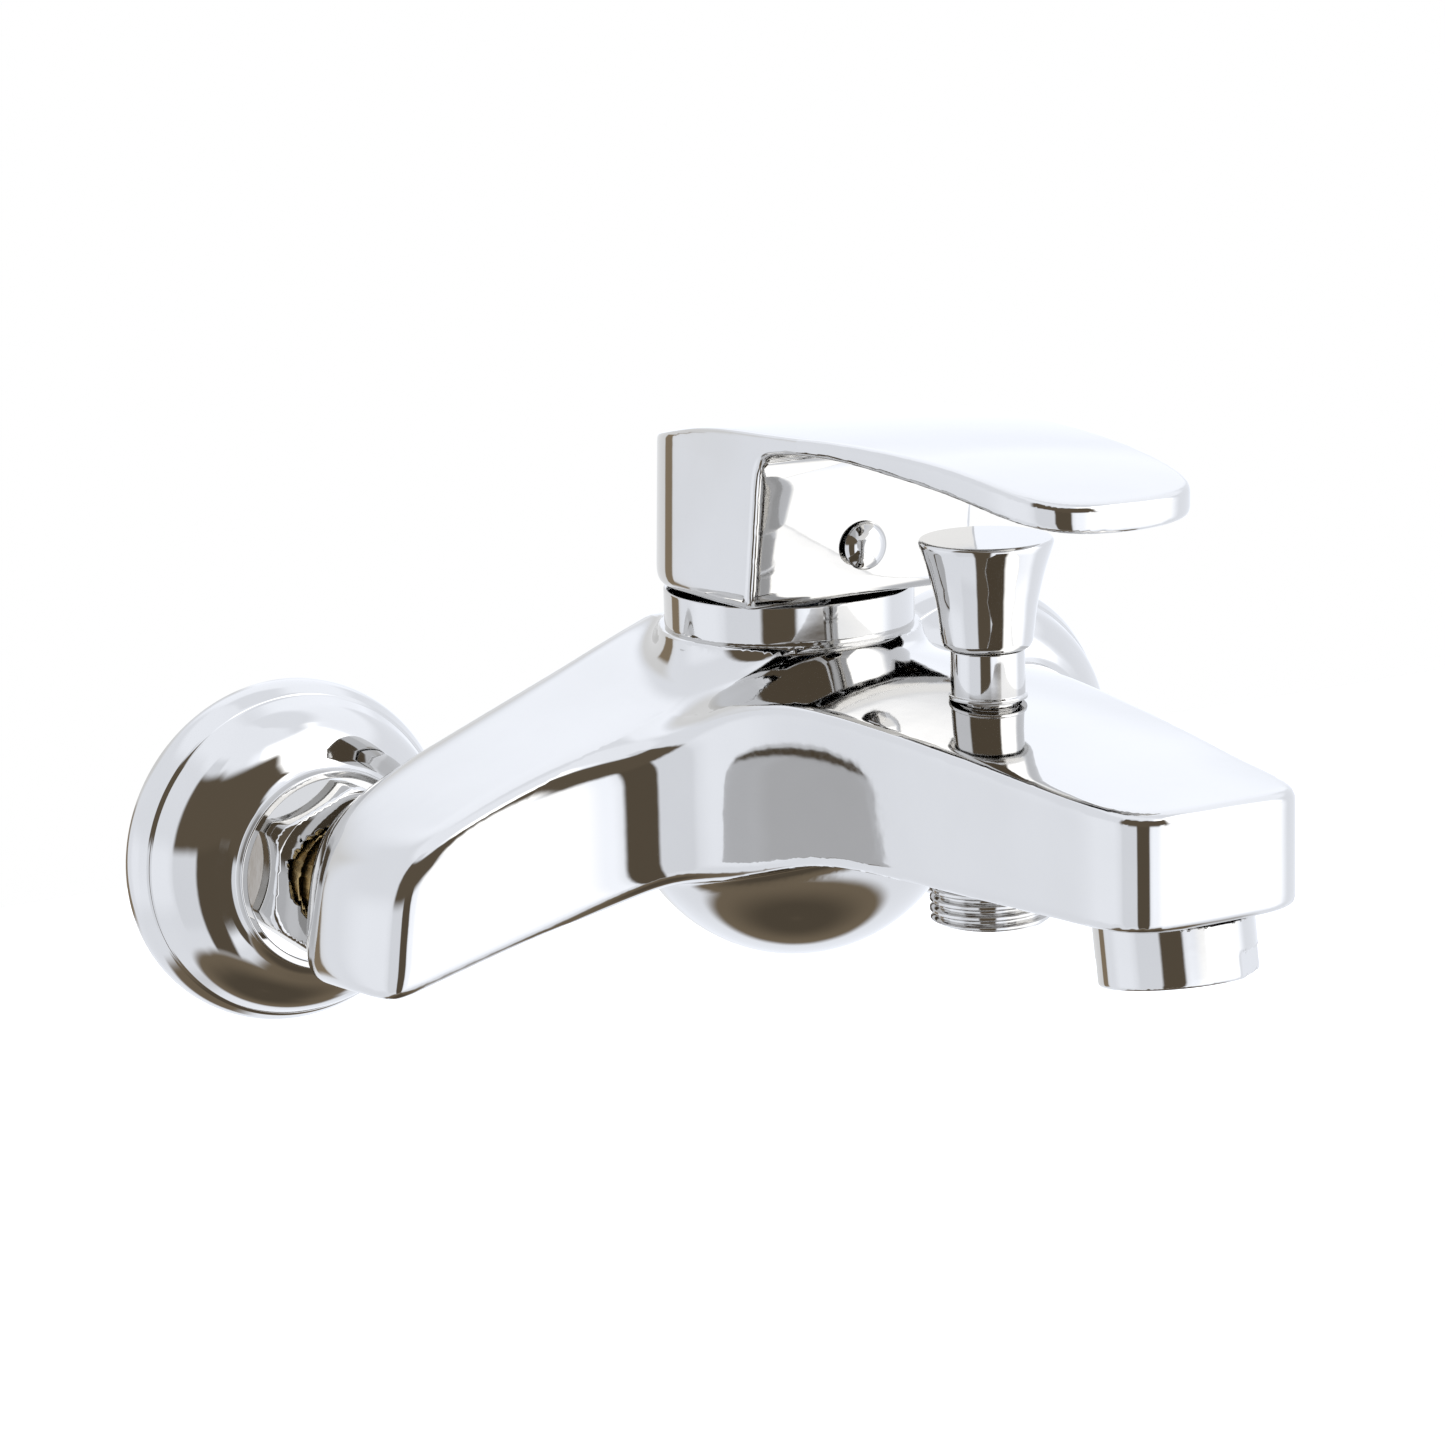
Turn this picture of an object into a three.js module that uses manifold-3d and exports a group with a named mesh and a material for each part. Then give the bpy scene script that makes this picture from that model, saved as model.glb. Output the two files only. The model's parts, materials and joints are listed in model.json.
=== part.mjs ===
// Wall mounted single-lever bath mixer with a pull-up shower diverter.
// Frame: millimetres, +Z up, wall plane at y = 0, the tap projects towards -Y.
// Origin: on the wall plane, midway between the two inlets, at their height.
import * as THREE from 'three';
import { mergeVertices } from 'three/addons/utils/BufferGeometryUtils.js';
import Module from 'manifold-3d';

const wasm = await Module();
wasm.setup();

// ---- Driving dimensions ----
const GAP = 0.3;
const INLET_X = 75;
const BODY_BACK_Y = -28;
const ARM_FRONT_Y = -65;
const ARM_END_X = 90;
const CORNER_R = 28;
const CORNER_S = 28;
const BELLY_R = 31.5;
const BELLY_DEPTH = 70;
const BELLY_HEIGHT = 27;
const BELLY_LOW_Z = -18.4;
const NUT_TURN = THREE.MathUtils.degToRad(8);
const CARTRIDGE_Y = -58;
const BODY_TOP_Z = 42;
const CHAMBER_R = 17.8;
const CHAMBER_FLOOR_Z = 8;
const RING_R = 22.6;
const RING_TOP_Z = 49.8;
const PIVOT_Z = 38;
const DIVERTER_Y = -122;
const SLEEVE_TOP_Z = 48.3;
const KNOB_TOP_Z = 67.2;
const SPOUT_TIP_Y = -189;
const AERATOR_Y = -174;
const AERATOR_R = 13.1;
const AERATOR_TOP_Z = 14.3;
const AERATOR_TILT = THREE.MathUtils.degToRad(9);
const FLAT_TURN = THREE.MathUtils.degToRad(38);
const OUTLET_END_Z = 1.4;
const HANDLE_BOTTOM_Z = 50.6;
const HANDLE_TIP_Y = -165.6;
const BLOCK_FRONT_T = 86;
const LEVER_ROUND_T = 152.6;
const SCREW_Z = 60.3;
const STUB_END_Y = 16;
const STUB_OFFSET = 4;

// ---- Finishes ----
const chrome = () => new THREE.MeshStandardMaterial({ color: 0xdfe0e4, metalness: 1, roughness: 0.08 });
const brass = () => new THREE.MeshStandardMaterial({ color: 0xc2a15a, metalness: 1, roughness: 0.35 });
const steel = () => new THREE.MeshStandardMaterial({ color: 0xa9acb0, metalness: 1, roughness: 0.3 });
const rubber = () => new THREE.MeshStandardMaterial({ color: 0x1c1c1e, metalness: 0, roughness: 0.8 });
const plastic = (color) => new THREE.MeshStandardMaterial({ color, metalness: 0, roughness: 0.5 });
const ceramic = () => new THREE.MeshStandardMaterial({ color: 0xf0eee8, metalness: 0, roughness: 0.2 });

// ---- Solids: three.js geometry in and out of manifold booleans ----
function solid(geometry) {
  const bare = geometry.clone();
  bare.deleteAttribute('normal');
  bare.deleteAttribute('uv');
  const merged = mergeVertices(bare, 1e-4);
  const vertProperties = new Float32Array(merged.attributes.position.array);
  const triVerts = new Uint32Array(merged.index.array);
  return new wasm.Manifold(new wasm.Mesh({ numProp: 3, vertProperties, triVerts }));
}

function geometryOf(body) {
  const mesh = body.getMesh();
  const geometry = new THREE.BufferGeometry();
  geometry.setAttribute('position', new THREE.BufferAttribute(new Float32Array(mesh.vertProperties), 3));
  geometry.setIndex(new THREE.BufferAttribute(new Uint32Array(mesh.triVerts), 1));
  geometry.computeVertexNormals();
  return geometry;
}

// ---- Basic shapes ----
const points2 = (pairs) => pairs.map(([a, b]) => new THREE.Vector2(a, b));

// A closed profile [radius, y] turned about the Y axis, its faces pointing out.
function turnedY(pairs, segments = 32) {
  const profile = points2(pairs);
  if (THREE.ShapeUtils.area(profile) < 0) profile.reverse();
  return new THREE.LatheGeometry(profile, segments);
}

// A closed profile [radius, height] turned about the Z axis.
const turnedZ = (pairs, segments = 32) => turnedY(pairs, segments).rotateX(Math.PI / 2);

// Closing a ring profile on itself.
const ring = (pairs) => [...pairs, pairs[0]];

function rodZ(radius, low, high, x = 0, y = 0, segments = 24) {
  const geometry = new THREE.CylinderGeometry(radius, radius, high - low, segments);
  return geometry.rotateX(Math.PI / 2).translate(x, y, (low + high) / 2);
}

function rodY(radius, low, high, x = 0, z = 0, segments = 24) {
  const geometry = new THREE.CylinderGeometry(radius, radius, high - low, segments);
  return geometry.translate(x, (low + high) / 2, z);
}

// A round bar between two points.
function rodBetween(radius, from, to, segments = 16) {
  const axis = to.clone().sub(from);
  const geometry = new THREE.CylinderGeometry(radius, radius, axis.length(), segments);
  const turn = new THREE.Quaternion().setFromUnitVectors(new THREE.Vector3(0, 1, 0), axis.normalize());
  const middle = from.clone().add(to).multiplyScalar(0.5);
  return geometry.applyQuaternion(turn).translate(middle.x, middle.y, middle.z);
}

// A polygon's corners [a, b, radius], each eased by a quadratic curve.
function eased(corners, steps) {
  const outline = [];
  corners.forEach(([a, b, radius], i) => {
    const corner = new THREE.Vector2(a, b);
    const [pa, pb] = corners.at(i - 1);
    const [na, nb] = corners[(i + 1) % corners.length];
    const start = new THREE.Vector2(pa, pb).sub(corner).setLength(radius).add(corner);
    const end = new THREE.Vector2(na, nb).sub(corner).setLength(radius).add(corner);
    outline.push(...new THREE.QuadraticBezierCurve(start, corner, end).getPoints(steps));
  });
  return outline;
}

// A skin through rings of equal point counts, closed by a fan at each end.
function loft(rings) {
  const count = rings[0].length;
  const vertices = rings.flat();
  const indices = [];
  for (let r = 0; r + 1 < rings.length; r += 1) {
    for (let i = 0; i < count; i += 1) {
      const a = r * count + i;
      const b = r * count + ((i + 1) % count);
      indices.push(a, b, a + count, b, b + count, a + count);
    }
  }
  const addCap = (first, reversed) => {
    const centre = new THREE.Vector3();
    for (let i = 0; i < count; i += 1) {
      centre.addScaledVector(vertices[first + i], 1 / count);
    }
    vertices.push(centre);
    const middle = vertices.length - 1;
    for (let i = 0; i < count; i += 1) {
      const a = first + i;
      const b = first + ((i + 1) % count);
      indices.push(...(reversed ? [b, a, middle] : [a, b, middle]));
    }
  };
  const lastRing = (rings.length - 1) * count;
  addCap(0, true);
  addCap(lastRing, false);
  let volume = 0;
  for (let t = 0; t < indices.length; t += 3) {
    const [a, b, c] = [vertices[indices[t]], vertices[indices[t + 1]], vertices[indices[t + 2]]];
    volume += a.dot(b.clone().cross(c));
  }
  if (volume < 0) indices.reverse();
  const geometry = new THREE.BufferGeometry().setFromPoints(vertices);
  geometry.setIndex(indices);
  return geometry;
}

const ramp = (value, low, high) => THREE.MathUtils.smoothstep(value, low, high);

// ---- Body casting ----
// Heights of the inlet arms at distance s from the middle plane.
const armTopFront = (s) => 30.2 - 0.22 * (s - 30) - 0.0025 * (s - 30) ** 2;
const armRidge = (s) => 42.6 - 0.405 * (s - 14) - 0.006 * Math.max(0, s - 60) ** 2;
const armTopBack = (s) => Math.max(armTopFront(s), armRidge(s));
const armBottom = (s) => -0.3 - 0.26 * (s - 33.7);

// How far the round corner between arm and spout stands in front of the arm.
function cornerReach(s) {
  const left = THREE.MathUtils.clamp(CORNER_S + CORNER_R - s, 0, CORNER_R);
  return CORNER_R - Math.sqrt(CORNER_R ** 2 - left ** 2);
}

function armSection(x) {
  const s = Math.abs(x);
  const end = Math.max(0, s - 84) / (ARM_END_X - 84);
  const pinch = end ** 2;
  const reach = cornerReach(s);
  const front = ARM_FRONT_Y + 15 * pinch - reach;
  const back = BODY_BACK_Y - 9 * pinch;
  const low = armBottom(Math.max(s, 26)) + 5 * pinch;
  const highFront = armTopFront(Math.max(s, 26)) - 7 * pinch;
  const highBack = Math.min(43.4, armTopBack(s)) - 7 * pinch;
  const corners = [
    [front, low + 0.28 * reach, 3],
    [front, highFront + 0.1 * reach, 2],
    [back, highBack, 5],
    [back, low - 2.5 * (1 - pinch), 5],
  ];
  return eased(corners, 3).map((p) => new THREE.Vector3(x, p.x, p.y));
}

function armsSolid() {
  const half = [0, 12, 28, 29.5, 33, 38, 45, 56, 66, 75, 81, 85, 87.5, 89.2, ARM_END_X];
  const stations = [...half.slice(1).reverse().map((s) => -s), ...half];
  return solid(loft(stations.map(armSection)));
}

// The spout at distance t in front of the wall.
const spoutHalfWidth = (t) => 30 - 0.1008 * (t - 65);
const spoutCrest = (t) => Math.min(41.4, 42.2 - 0.07 * (t - 80.6));
const spoutCrease = (t) => spoutCrest(t) - 0.3 - 3.6 * (1 - ramp(t, 92, 175)) - 6 * (1 - ramp(t, 66, 104));
const spoutBottom = (t) => 12 * ramp(t, 60, 112) + 0.038 * Math.max(0, t - 112);

function spoutSection(t) {
  const end = Math.max(0, t - 185) / 4;
  const turn = Math.max(0, t - 177) / 12;
  const inset = 9 * (1 - Math.sqrt(1 - turn ** 2));
  const w = spoutHalfWidth(t) - inset;
  const top = spoutCrest(t) - 0.9 * end ** 2;
  const crease = spoutCrease(t) - 0.9 * end ** 2;
  const low = spoutBottom(t) + 0.7 * end ** 2;
  const corners = [
    [-w, low, 2.5],
    [w, low, 2.5],
    [w, crease, 1.4],
    [0.5 * w, top - 0.25 * (top - crease), 4],
    [-0.5 * w, top - 0.25 * (top - crease), 4],
    [-w, crease, 1.4],
  ];
  return eased(corners, 3).map((p) => new THREE.Vector3(p.x, -t, p.y));
}

function spoutSolid() {
  const stations = [40, 62, 70, 80, 90, 101, 116, 134, 152, 168, 177, 181, 184.5, 187, 188.5, -SPOUT_TIP_Y];
  return solid(loft(stations.map(spoutSection)));
}

// Short neck that flares from the arms to the seat of the trim ring.
function neckSolid() {
  const profile = [
    [0, 20], [27, 20], [30, 30], [27.5, 36], [25, 39.4], [23.8, 41.4], [23.4, BODY_TOP_Z], [0, BODY_TOP_Z],
  ];
  return solid(turnedZ(profile, 32).translate(0, CARTRIDGE_Y, 0));
}

// Shallow round bowl under the cartridge chamber, cut off flat at the back.
function bellySolid() {
  const bowl = new THREE.SphereGeometry(BELLY_R, 32, 24).rotateX(Math.PI / 2);
  bowl.translate(0, CARTRIDGE_Y, BELLY_LOW_Z + BELLY_R);
  const keep = new THREE.BoxGeometry(2 * BELLY_R, BELLY_DEPTH, BELLY_HEIGHT);
  keep.translate(0, BODY_BACK_Y - 0.5 - BELLY_DEPTH / 2, BELLY_LOW_Z - 1 + BELLY_HEIGHT / 2);
  return solid(bowl).intersect(solid(keep));
}

// Water passages, bores and seats taken out of the casting.
function passages() {
  const v = (x, y, z) => new THREE.Vector3(x, y, z);
  const cuts = [
    rodZ(CHAMBER_R, CHAMBER_FLOOR_Z, 60, 0, CARTRIDGE_Y, 32),
    rodBetween(4.2, v(0, -68, -2), v(0, -102, 24)),
    rodY(5, -114, -99, 0, 24, 16),
    rodZ(3.6, 0, CHAMBER_FLOOR_Z + 1, 0, -68, 12),
    rodZ(5.6, 30, 60, 0, DIVERTER_Y),
    rodZ(8.2, 0, 33, 0, DIVERTER_Y),
    rodY(5.5, AERATOR_Y, DIVERTER_Y, 0, 23.4, 16),
  ];
  for (const side of [-1, 1]) {
    cuts.push(rodY(9.9, -46, BODY_BACK_Y + 5, side * INLET_X, 0));
    cuts.push(rodBetween(2.6, v(side * (INLET_X + 2), -43, 4.2), v(side * 9, -52, 4.2)));
    cuts.push(rodZ(3.3, 1.5, CHAMBER_FLOOR_Z + 1, side * 9.5, -52, 12));
  }
  return cuts.map(solid);
}

function bodyGeometry() {
  let casting = armsSolid().add(spoutSolid()).add(neckSolid()).add(bellySolid());
  for (const cut of passages()) {
    casting = casting.subtract(cut);
  }
  const aeratorBore = rodZ(10.9, -20, 10.6).rotateX(-AERATOR_TILT).translate(0, AERATOR_Y, AERATOR_TOP_Z);
  return geometryOf(casting.subtract(solid(aeratorBore)));
}

// ---- Cartridge ----
const PORTS = [[-9.5, 6], [9.5, 6], [0, -10]];

function portedDisc(radius, low, high, portRadius, segments = 32) {
  let disc = solid(rodZ(radius, low, high, 0, CARTRIDGE_Y, segments));
  for (const [x, y] of PORTS) {
    const port = rodZ(portRadius, low - 1, high + 1, x, CARTRIDGE_Y + y, 12);
    disc = disc.subtract(solid(port));
  }
  return geometryOf(disc);
}

function housingGeometry() {
  const profile = ring([
    [14.6, 13.3], [17.4, 13.3], [17.4, 33], [14.2, 33], [14.2, 46.5], [11.3, 46.5], [11.3, 31], [14.6, 31],
  ]);
  return turnedZ(profile).translate(0, CARTRIDGE_Y, 0);
}

function cartridgeNutGeometry() {
  const sleeve = ring([[14.5, 33.3], [17.5, 33.3], [17.5, 42.6], [14.5, 42.6]]);
  const bored = ring([[14.5, 42.4], [18.6, 42.4], [19, 43], [19, 46], [18.4, 46.6], [14.5, 46.6]]);
  const hexagon = new THREE.CylinderGeometry(19.2, 19.2, 10, 6).rotateX(Math.PI / 2).translate(0, 0, 45);
  const head = solid(turnedZ(bored)).intersect(solid(hexagon));
  return geometryOf(solid(turnedZ(sleeve)).add(head)).translate(0, CARTRIDGE_Y, 0);
}

function rotorGeometry() {
  const profile = [[0, 19.9], [14.2, 19.9], [14.2, 30.7], [11, 30.7], [11, 46.8], [0, 46.8]];
  const slot = new THREE.BoxGeometry(8.8, 18.6, 40).translate(0, 0, 35);
  const pinHole = new THREE.CylinderGeometry(1.9, 1.9, 40, 16).rotateZ(Math.PI / 2).translate(0, 0, PIVOT_Z);
  const rotor = solid(turnedZ(profile)).subtract(solid(slot)).subtract(solid(pinHole));
  return geometryOf(rotor).translate(0, CARTRIDGE_Y, 0);
}

function pivotPinGeometry() {
  const pin = new THREE.CylinderGeometry(1.6, 1.6, 20, 16).rotateZ(Math.PI / 2);
  return pin.translate(0, CARTRIDGE_Y, PIVOT_Z);
}

function stemGeometry() {
  const low = 20.4;
  const high = 64.2;
  const bar = new THREE.BoxGeometry(8, 8, high - low).translate(0, 0, (low + high) / 2);
  const pinHole = new THREE.CylinderGeometry(1.9, 1.9, 20, 16).rotateZ(Math.PI / 2).translate(0, 0, PIVOT_Z);
  return geometryOf(solid(bar).subtract(solid(pinHole))).translate(0, CARTRIDGE_Y, 0);
}

function movingDiscGeometry() {
  const profile = ring([[4.5, 16.6], [10.3, 16.6], [10.3, 19.6], [4.5, 19.6]]);
  return turnedZ(profile, 28).translate(0, CARTRIDGE_Y, 0);
}

function capRingGeometry() {
  const profile = ring([
    [20.8, BODY_TOP_Z + GAP], [RING_R, BODY_TOP_Z + GAP], [RING_R, RING_TOP_Z - 0.6], [22, RING_TOP_Z],
    [15, RING_TOP_Z], [15, 48.4], [20.2, 48.2], [20.8, 47.6],
  ]);
  return turnedZ(profile, 40).translate(0, CARTRIDGE_Y, 0);
}

// ---- Handle: hollow block with a flat front, and the arched lever ----
const LEVER_TOP = new THREE.SplineCurve(points2([
  [34, 75.5], [52, 78.6], [66, 81.4], [89, 83.6], [105, 84.4], [123, 84.3], [137, 83.6], [151, 81.9],
  [165.6, 79.2],
]));
const LEVER_UNDER = new THREE.SplineCurve(points2([
  [84, 78.4], [89, 79], [95, 80], [107, 80.6], [123, 79.6], [141, 77.9], [154, 75.9], [165.6, 74.1],
]));

// Height on a curve, and half width of the lever, at distance t in front of the wall.
function heightAt(curve, t) {
  const samples = curve.getPoints(240);
  return samples.find((p) => p.x >= t - 1e-6).y;
}
const leverHalfWidth = (t) => 23.8 - 1.6 * ramp(t, 58, 104) - 0.091 * Math.max(0, t - 98);

function leverSection(t) {
  const tip = Math.max(0, t - LEVER_ROUND_T) / (-HANDLE_TIP_Y - LEVER_ROUND_T);
  const tail = Math.max(0, 58 - t) / 24.2;
  const cornerLoss = 13 * (1 - Math.sqrt(1 - tip ** 2));
  const w = (leverHalfWidth(t) - cornerLoss) * Math.sqrt(1 - 0.97 * tail ** 2);
  const top = heightAt(LEVER_TOP, t);
  const under = t < BLOCK_FRONT_T ? 73.6 : heightAt(LEVER_UNDER, t);
  const corners = [
    [-w, under, 0.9], [w, under, 0.9], [w, top - 0.7, 0.9],
    [0.4 * w, top, 1.5], [-0.4 * w, top, 1.5], [-w, top - 0.7, 0.9],
  ];
  return eased(corners, 2).map((p) => new THREE.Vector3(p.x, -t, p.y));
}

// Plan outline of the block: half round behind, straight sides, flat front.
function blockSection(z, inset, front) {
  const radius = 24 - inset;
  const outline = [];
  const steps = 14;
  for (let i = 0; i <= steps; i += 1) {
    const turn = (Math.PI * i) / steps;
    outline.push(new THREE.Vector3(radius * Math.cos(turn), CARTRIDGE_Y + radius * Math.sin(turn), z));
  }
  const halfFront = 22.6 - inset;
  const corner = 2.4;
  for (const side of [-1, 1]) {
    for (let i = 0; i <= 3; i += 1) {
      const turn = (Math.PI / 2) * (side < 0 ? i / 3 : 1 - i / 3);
      const x = side * (halfFront - corner + corner * Math.cos(turn));
      outline.push(new THREE.Vector3(x, front + corner - corner * Math.sin(turn), z));
    }
  }
  return outline;
}

const handleFront = (z) => -82 - 0.135 * (z - HANDLE_BOTTOM_Z);

function handleGeometry() {
  const levels = [[HANDLE_BOTTOM_Z, 1.2], [51.6, 0.5], [53.4, 0.2], [60, 0.1], [74.4, 0.4]];
  const block = solid(loft(levels.map(([z, inset]) => blockSection(z, inset, handleFront(z) + inset))));
  const stations = [
    34, 36, 40, 46, 53, 62, 72, 85, 89, 95, 105, 117, 130, 142, 152.6, 156.5, 159.5, 162, 164.6, 165.6,
  ];
  const lever = solid(loft(stations.map(leverSection)));
  const hollowLevels = [48, 60, 72.2];
  const hollow = solid(loft(hollowLevels.map((z) => blockSection(z, 1.15, handleFront(z) + 2.6))));
  const hub = solid(rodZ(7.6, 52.6, 74, 0, CARTRIDGE_Y));
  const boss = solid(rodY(5, -82.5, CARTRIDGE_Y, 0, SCREW_Z, 20));
  const socket = solid(new THREE.BoxGeometry(8.6, 8.6, 24).translate(0, CARTRIDGE_Y, 64.5 - 12));
  const screwHole = solid(rodY(2.8, -76, CARTRIDGE_Y, 0, SCREW_Z, 16));
  const plugHole = solid(rodY(3.3, -90, -75, 0, SCREW_Z, 20));
  const slab = solid(new THREE.BoxGeometry(60, 60, 20).translate(0, CARTRIDGE_Y, 84));
  const inside = hub.add(boss).subtract(slab);
  const shell = block.subtract(hollow).add(lever).add(inside);
  return geometryOf(shell.subtract(socket).subtract(screwHole).subtract(plugHole));
}

function setScrewGeometry() {
  const profile = [[0, -71], [2.5, -71], [2.5, -63.4], [1.4, -62.4], [0, -62.4]];
  const screw = solid(turnedY(profile, 16));
  const key = solid(new THREE.CylinderGeometry(1.5, 1.5, 4, 6).translate(0, -71, 0));
  return geometryOf(screw.subtract(key)).translate(0, 0, SCREW_Z);
}

function screwCapGeometry() {
  const seat = handleFront(SCREW_Z) - 0.95;
  const profile = [
    [0, seat - 1.9], [1.6, seat - 1.75], [3, seat - 1.25], [3.9, seat - 0.6], [4.35, seat],
    [3, seat], [3, seat + 5], [0, seat + 5],
  ];
  return turnedY(profile, 24).translate(0, 0, SCREW_Z);
}

// ---- Diverter and shower outlet ----
function knobGeometry() {
  const low = SLEEVE_TOP_Z + GAP;
  const profile = [
    [0, 62.3], [2.2, 62.3], [2.2, low], [7.1, low], [7.6, low + 0.6], [8.5, 56], [9.8, 61.5],
    [11.2, 65.8], [11.5, 66.7], [11.1, KNOB_TOP_Z], [0, KNOB_TOP_Z],
  ];
  return turnedZ(profile, 30).translate(0, DIVERTER_Y, 0);
}

function sleeveGeometry() {
  const profile = ring([
    [2.3, 33.3], [5.3, 33.3], [5.3, 39.9], [6.7, 39.9], [6.7, 40.5], [6.3, 40.6], [6.3, SLEEVE_TOP_Z - 0.3],
    [6, SLEEVE_TOP_Z], [2.3, SLEEVE_TOP_Z], [2.3, 44.4], [3.9, 44.4], [3.9, 42], [2.3, 42],
  ]);
  return turnedZ(profile, 28).translate(0, DIVERTER_Y, 0);
}

function diverterStemGeometry() {
  const profile = [
    [0, 17.6], [3.4, 17.6], [3.4, 20], [1.9, 20], [1.9, 23.3], [3.4, 23.3], [3.4, 24.3], [1.9, 24.3],
    [1.9, 62], [0, 62],
  ];
  return turnedZ(profile, 20).translate(0, DIVERTER_Y, 0);
}

function ringGeometry(inner, outer, low, high, y, segments = 24) {
  const profile = ring([[inner, low], [outer, low], [outer, high], [inner, high]]);
  return turnedZ(profile, segments).translate(0, y, 0);
}

// Threaded nipple for the shower hose, ring-grooved at the thread's pitch.
function showerOutletGeometry() {
  const crest = 10.48;
  const root = 9.5;
  const pitch = 1.814;
  const shoulder = 11.1;
  const profile = [[6.2, OUTLET_END_Z], [root, OUTLET_END_Z]];
  for (let z = OUTLET_END_Z + 0.5; z + pitch < shoulder; z += pitch) {
    profile.push([crest, z + 0.5], [crest, z + 0.8], [root, z + 1.3]);
  }
  profile.push([root, shoulder], [10.6, shoulder], [10.6, 11.7], [7.9, 11.7], [7.9, 20], [6.2, 20]);
  return turnedZ(ring(profile), 24).translate(0, DIVERTER_Y, 0);
}

// ---- Aerator, on an axis tilted away from the wall ----
function aeratorPiece(geometry) {
  return geometry.rotateX(-AERATOR_TILT).translate(0, AERATOR_Y, AERATOR_TOP_Z);
}

function aeratorHousingGeometry() {
  const profile = ring([
    [9, -11.2], [12.6, -11.2], [AERATOR_R, -10.6], [AERATOR_R, 3.2], [10.6, 3.2], [10.6, 8], [9, 8],
  ]);
  const low = (t) => spoutBottom(t) - GAP;
  const slope = Math.atan2(low(190) - low(160), 30);
  const cover = new THREE.BoxGeometry(60, 60, 20).translate(0, 0, 10).rotateX(-slope);
  cover.translate(0, AERATOR_Y, low(-AERATOR_Y));
  const bore = solid(aeratorPiece(rodZ(10.6, -8, 12)));
  let housing = solid(aeratorPiece(turnedZ(profile, 32)));
  housing = housing.subtract(solid(cover).subtract(bore));
  for (const side of [-1, 1]) {
    const flat = new THREE.BoxGeometry(12, 4, 4.4).translate(0, side * 14, -9.2).rotateZ(FLAT_TURN);
    housing = housing.subtract(solid(aeratorPiece(flat)));
  }
  return geometryOf(housing);
}

function screenGeometry(radius, thickness, low, holeRadius, rows) {
  const outline = new THREE.Shape();
  outline.absarc(0, 0, radius, 0, 2 * Math.PI);
  rows.forEach(([count, reach]) => {
    for (let i = 0; i < count; i += 1) {
      const turn = (2 * Math.PI * i) / count;
      const hole = new THREE.Path();
      hole.absarc(reach * Math.cos(turn), reach * Math.sin(turn), holeRadius, 0, 2 * Math.PI, true);
      outline.holes.push(hole);
    }
  });
  const plate = new THREE.ExtrudeGeometry(outline, {
    depth: thickness,
    bevelEnabled: false,
    curveSegments: 3,
  });
  return aeratorPiece(plate.translate(0, 0, low));
}

function aeratorInsertGeometry() {
  const profile = ring([[6.4, -9.2], [8.7, -9.2], [8.7, 7.6], [7.6, 7.6], [7.6, -6], [6.4, -6]]);
  return aeratorPiece(turnedZ(profile, 28));
}

function aeratorWasherGeometry() {
  return aeratorPiece(turnedZ(ring([[7, 8.3], [10.4, 8.3], [10.4, 10.2], [7, 10.2]]), 28));
}

// ---- Wall unions, one set on each side ----
function unionTailGeometry() {
  const profile = [[7.2, -42], [9.6, -42], [9.6, -20.6], [12.6, -20.6], [12.6, -17.4], [7.2, -17.4]];
  return turnedY(ring(profile), 28);
}

function unionGasketGeometry() {
  return turnedY(ring([[8.4, -17.1], [12.2, -17.1], [12.2, -15.1], [8.4, -15.1]]), 28);
}

function unionNutGeometry() {
  const [low, high] = [BODY_BACK_Y + GAP, -12.5];
  const bored = ring([
    [10.1, low], [15.4, low], [16.6, low + 1], [16.6, high - 1], [15.4, high], [13.2, high],
    [13.2, -21], [10.1, -21],
  ]);
  const acrossCorners = 17.32;
  const hexagon = new THREE.CylinderGeometry(acrossCorners, acrossCorners, 20, 6);
  hexagon.rotateY(NUT_TURN).translate(0, (low + high) / 2, 0);
  return geometryOf(solid(turnedY(bored, 36)).intersect(solid(hexagon)));
}

// Eccentric connector: wide thread to the nut, narrow thread into the wall.
function wallConnectorGeometry(side) {
  const chamfer = 0.8;
  const barrel = (radius, low, high) => turnedY(
    [
      [0, low], [radius - chamfer, low], [radius, low + chamfer],
      [radius, high - chamfer], [radius - chamfer, high], [0, high],
    ],
    24,
  );
  const front = solid(barrel(12.9, -14.8, -6));
  const collar = solid(turnedY([[0, -7], [13.4, -7], [14.2, -6.2], [14.2, -2.8], [13.4, -2], [0, -2]], 24));
  const stub = solid(barrel(10.3, -3.5, STUB_END_Y).translate(side * STUB_OFFSET, 0, 0));
  const frontBore = solid(rodY(8, -20, -5, 0, 0, 20));
  const stubBore = solid(rodY(6.8, -6, 30, side * STUB_OFFSET, 0, 20));
  return geometryOf(front.add(collar).add(stub).subtract(frontBore).subtract(stubBore));
}

// Bell-shaped cover plate with a rolled rim and a short collar.
function escutcheonGeometry() {
  const outside = [
    [32.1, 0], [32.1, -1.6], [31.6, -3.4], [30.4, -5.6], [29.5, -6.3], [27.6, -11.2], [23.9, -15.3],
    [19.3, -17.8], [18.5, -18.6], [18.4, -20.4],
  ];
  const inside = [[17.1, -20.4], [17.1, -17.2], [22.4, -14.6], [26.4, -10.4], [28.2, -5.6], [30.9, 0]];
  return turnedY(ring([...outside, ...inside]), 36);
}

// ---- Assembly ----
const mixer = new THREE.Group();

function place(name, geometry, material, parent = mixer) {
  const mesh = new THREE.Mesh(geometry, material);
  mesh.name = name;
  parent.add(mesh);
}

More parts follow.
